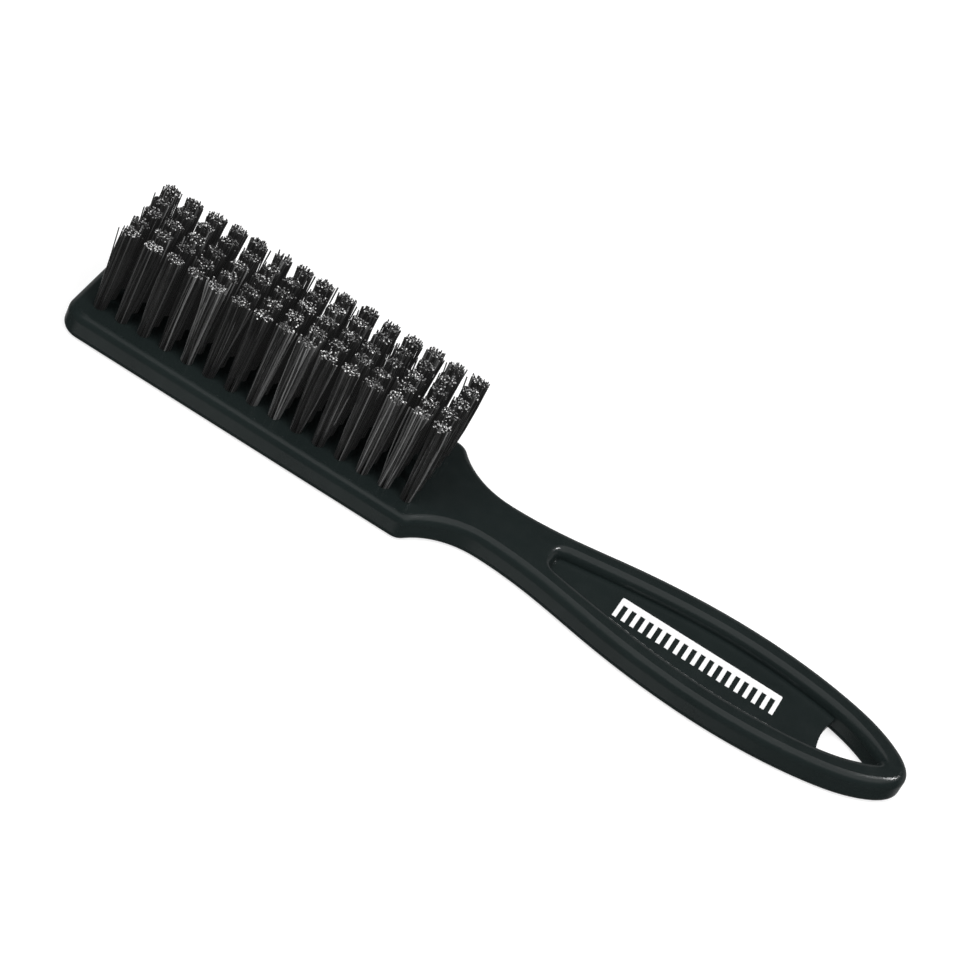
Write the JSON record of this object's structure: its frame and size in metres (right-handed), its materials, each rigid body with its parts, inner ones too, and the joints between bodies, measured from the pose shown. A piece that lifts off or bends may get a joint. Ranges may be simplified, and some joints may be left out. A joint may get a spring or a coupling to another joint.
{
  "type": "fade brush",
  "caption": "Barber's fade brush: a moulded plastic handle and head with a straight grid of stapled nylon bristle tufts and a hanging hole.",
  "frame": {"origin": "under the middle of the bounding box, on the plane of the brush's flat back", "axes": "+X along the brush from the head to the handle's tip, +Z the direction of the bristles"},
  "size_m": [0.184, 0.0292, 0.0258],
  "materials": {
    "black_plastic": "satin moulded black polypropylene with a faint green-blue cast",
    "nylon_bristle": "black nylon filament with cut ends",
    "staple_wire": "flat galvanised wire",
    "white_print": "pad-printed white ink"
  },
  "bodies": {
    "root": {"handle_body": "black_plastic", "tuft_column_01": "nylon_bristle", "tuft_column_02": "nylon_bristle", "tuft_column_03": "nylon_bristle", "tuft_column_04": "nylon_bristle", "tuft_column_05": "nylon_bristle", "tuft_column_06": "nylon_bristle", "tuft_column_07": "nylon_bristle", "tuft_column_08": "nylon_bristle", "tuft_column_09": "nylon_bristle", "tuft_column_10": "nylon_bristle", "tuft_column_11": "nylon_bristle", "tuft_column_12": "nylon_bristle", "tuft_column_13": "nylon_bristle", "tuft_column_14": "nylon_bristle", "tuft_column_15": "nylon_bristle", "staple_column_01": "staple_wire", "staple_column_02": "staple_wire", "staple_column_03": "staple_wire", "staple_column_04": "staple_wire", "staple_column_05": "staple_wire", "staple_column_06": "staple_wire", "staple_column_07": "staple_wire", "staple_column_08": "staple_wire", "staple_column_09": "staple_wire", "staple_column_10": "staple_wire", "staple_column_11": "staple_wire", "staple_column_12": "staple_wire", "staple_column_13": "staple_wire", "staple_column_14": "staple_wire", "staple_column_15": "staple_wire", "printed_mark": "white_print"}
  },
  "joints": []
}
